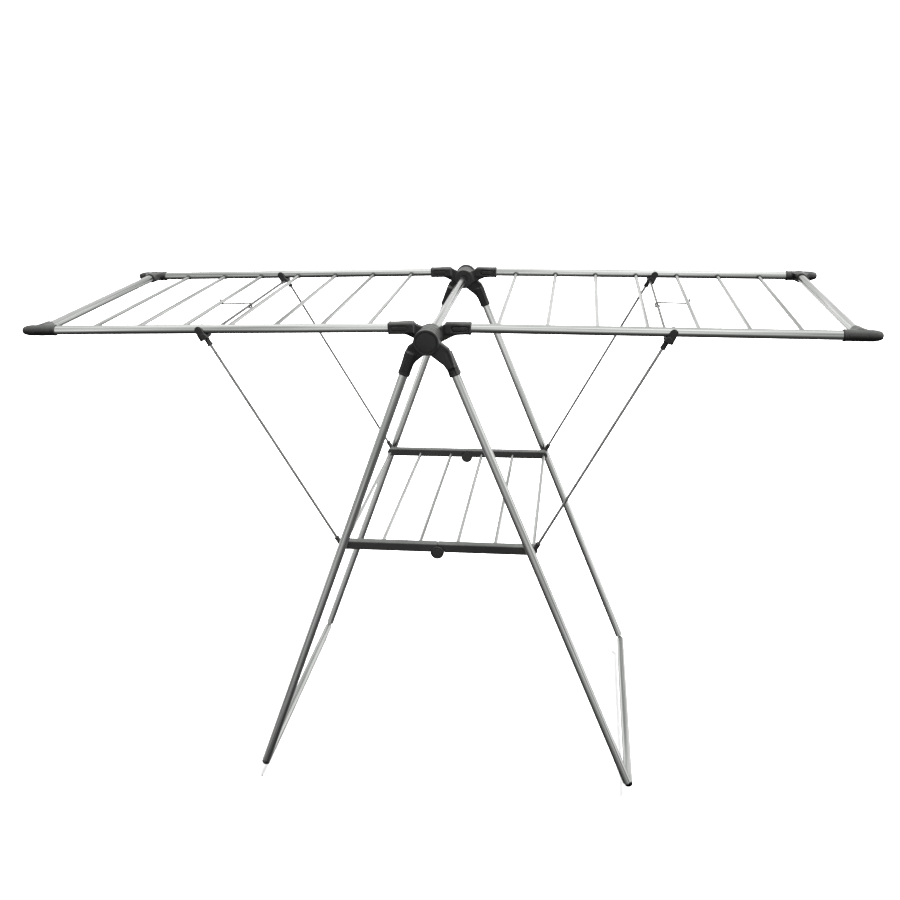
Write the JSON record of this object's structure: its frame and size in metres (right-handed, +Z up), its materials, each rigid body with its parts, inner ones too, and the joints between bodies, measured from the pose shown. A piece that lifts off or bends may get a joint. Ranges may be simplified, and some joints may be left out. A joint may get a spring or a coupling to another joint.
{
  "type": "folding clothes drying rack",
  "caption": "Folding clothes drying rack with two drop-down wings of round rungs, a folding slatted shelf and A-frame tube legs.",
  "frame": {"origin": "on the floor, under the middle of the hub axle", "axes": "+X along the right wing, +Y from front to rear along the axle, +Z up"},
  "size_m": [1.4722, 0.606, 0.9427],
  "materials": {
    "brushed_aluminium": "satin",
    "steel_rod": "satin",
    "black_plastic": "semi-matte",
    "dark_paint": "semi-gloss"
  },
  "bodies": {
    "left_leg_frame": {"axle_tube": "brushed_aluminium", "front_hub_cap": "black_plastic", "rear_hub_cap": "black_plastic", "left_front_leg": "brushed_aluminium", "left_front_leg_hub_arm": "black_plastic", "left_front_foot": "black_plastic", "left_rear_leg": "brushed_aluminium", "left_rear_leg_hub_arm": "black_plastic", "left_rear_foot": "black_plastic", "left_foot_tube": "brushed_aluminium"},
    "right_leg_frame": {"right_front_leg": "brushed_aluminium", "right_front_leg_hub_arm": "black_plastic", "right_front_foot": "black_plastic", "right_rear_leg": "brushed_aluminium", "right_rear_leg_hub_arm": "black_plastic", "right_rear_foot": "black_plastic", "right_foot_tube": "brushed_aluminium"},
    "left_wing": {"left_wing_front_rail": "brushed_aluminium", "left_wing_front_hub_arm": "black_plastic", "left_wing_front_corner": "black_plastic", "left_wing_rear_rail": "brushed_aluminium", "left_wing_rear_hub_arm": "black_plastic", "left_wing_rear_corner": "black_plastic", "left_wing_outer_tube": "brushed_aluminium", "left_wing_rung_1": "brushed_aluminium", "left_wing_rung_2": "brushed_aluminium", "left_wing_rung_3": "brushed_aluminium", "left_wing_rung_4": "brushed_aluminium", "left_wing_rung_5": "brushed_aluminium", "left_wing_rung_6": "brushed_aluminium", "left_wing_rung_7": "brushed_aluminium"},
    "right_wing": {"right_wing_front_rail": "brushed_aluminium", "right_wing_front_hub_arm": "black_plastic", "right_wing_front_corner": "black_plastic", "right_wing_rear_rail": "brushed_aluminium", "right_wing_rear_hub_arm": "black_plastic", "right_wing_rear_corner": "black_plastic", "right_wing_outer_tube": "brushed_aluminium", "right_wing_rung_1": "brushed_aluminium", "right_wing_rung_2": "brushed_aluminium", "right_wing_rung_3": "brushed_aluminium", "right_wing_rung_4": "brushed_aluminium", "right_wing_rung_5": "brushed_aluminium", "right_wing_rung_6": "brushed_aluminium", "right_wing_rung_7": "brushed_aluminium"},
    "left_strut": {"left_strut_frame": "steel_rod", "left_front_strut_clip": "black_plastic", "left_front_strut_end": "black_plastic", "left_rear_strut_clip": "black_plastic", "left_rear_strut_end": "black_plastic"},
    "right_strut": {"right_strut_frame": "steel_rod", "right_front_strut_clip": "black_plastic", "right_front_strut_end": "black_plastic", "right_rear_strut_clip": "black_plastic", "right_rear_strut_end": "black_plastic"},
    "left_latch": {"left_latch_link": "steel_rod"},
    "right_latch": {"right_latch_link": "steel_rod"},
    "left_shelf": {"left_shelf_half": "dark_paint"},
    "right_shelf": {"right_shelf_half": "dark_paint"}
  },
  "joints": [
    {"name": "right_leg_fold", "type": "hinge", "parent": "left_leg_frame", "child": "right_leg_frame", "pos_m": [0, 0, 0.91836], "axis": [0, 1, 0], "range_deg": [0, 42.4]},
    {"name": "right_wing_fold", "type": "hinge", "parent": "right_leg_frame", "child": "right_wing", "pos_m": [0, 0, 0.91836], "axis": [0, 1, 0], "range_deg": [0, 62.4]},
    {"name": "left_wing_fold", "type": "hinge", "parent": "left_leg_frame", "child": "left_wing", "pos_m": [0, 0, 0.91836], "axis": [0, -1, 0], "range_deg": [0, 62.4]},
    {"name": "right_strut_swing", "type": "hinge", "parent": "right_leg_frame", "child": "right_strut", "pos_m": [0.17553, 0, 0.51836], "axis": [0, 1, 0], "range_deg": [0, 126.6]},
    {"name": "left_strut_swing", "type": "hinge", "parent": "left_leg_frame", "child": "left_strut", "pos_m": [-0.17553, 0, 0.51836], "axis": [0, -1, 0], "range_deg": [0, 126.6]},
    {"name": "right_latch_swing", "type": "hinge", "parent": "right_strut", "child": "right_latch", "pos_m": [0.39599, 0.008, 0.91538], "axis": [0, -1, 0], "range_deg": [0, 34]},
    {"name": "left_latch_swing", "type": "hinge", "parent": "left_strut", "child": "left_latch", "pos_m": [-0.39599, -0.008, 0.91538], "axis": [0, 1, 0], "range_deg": [0, 34]},
    {"name": "left_shelf_fold", "type": "hinge", "parent": "left_leg_frame", "child": "left_shelf", "pos_m": [-0.17553, 0, 0.51836], "axis": [0, -1, 0], "range_deg": [0, 65.41]},
    {"name": "right_shelf_fold", "type": "hinge", "parent": "left_shelf", "child": "right_shelf", "pos_m": [0, 0, 0.50971], "axis": [0, 1, 0], "range_deg": [0, 173.23]}
  ],
  "couplings": [
    {"joint": "right_strut_swing", "follows": "right_wing_fold", "ratio": 2.0287},
    {"joint": "left_strut_swing", "follows": "left_wing_fold", "ratio": 2.0287},
    {"joint": "right_latch_swing", "follows": "right_wing_fold", "ratio": 0.5448},
    {"joint": "left_latch_swing", "follows": "left_wing_fold", "ratio": 0.5448},
    {"joint": "left_shelf_fold", "follows": "right_leg_fold", "ratio": 1.5426},
    {"joint": "right_shelf_fold", "follows": "right_leg_fold", "ratio": 4.0855}
  ]
}
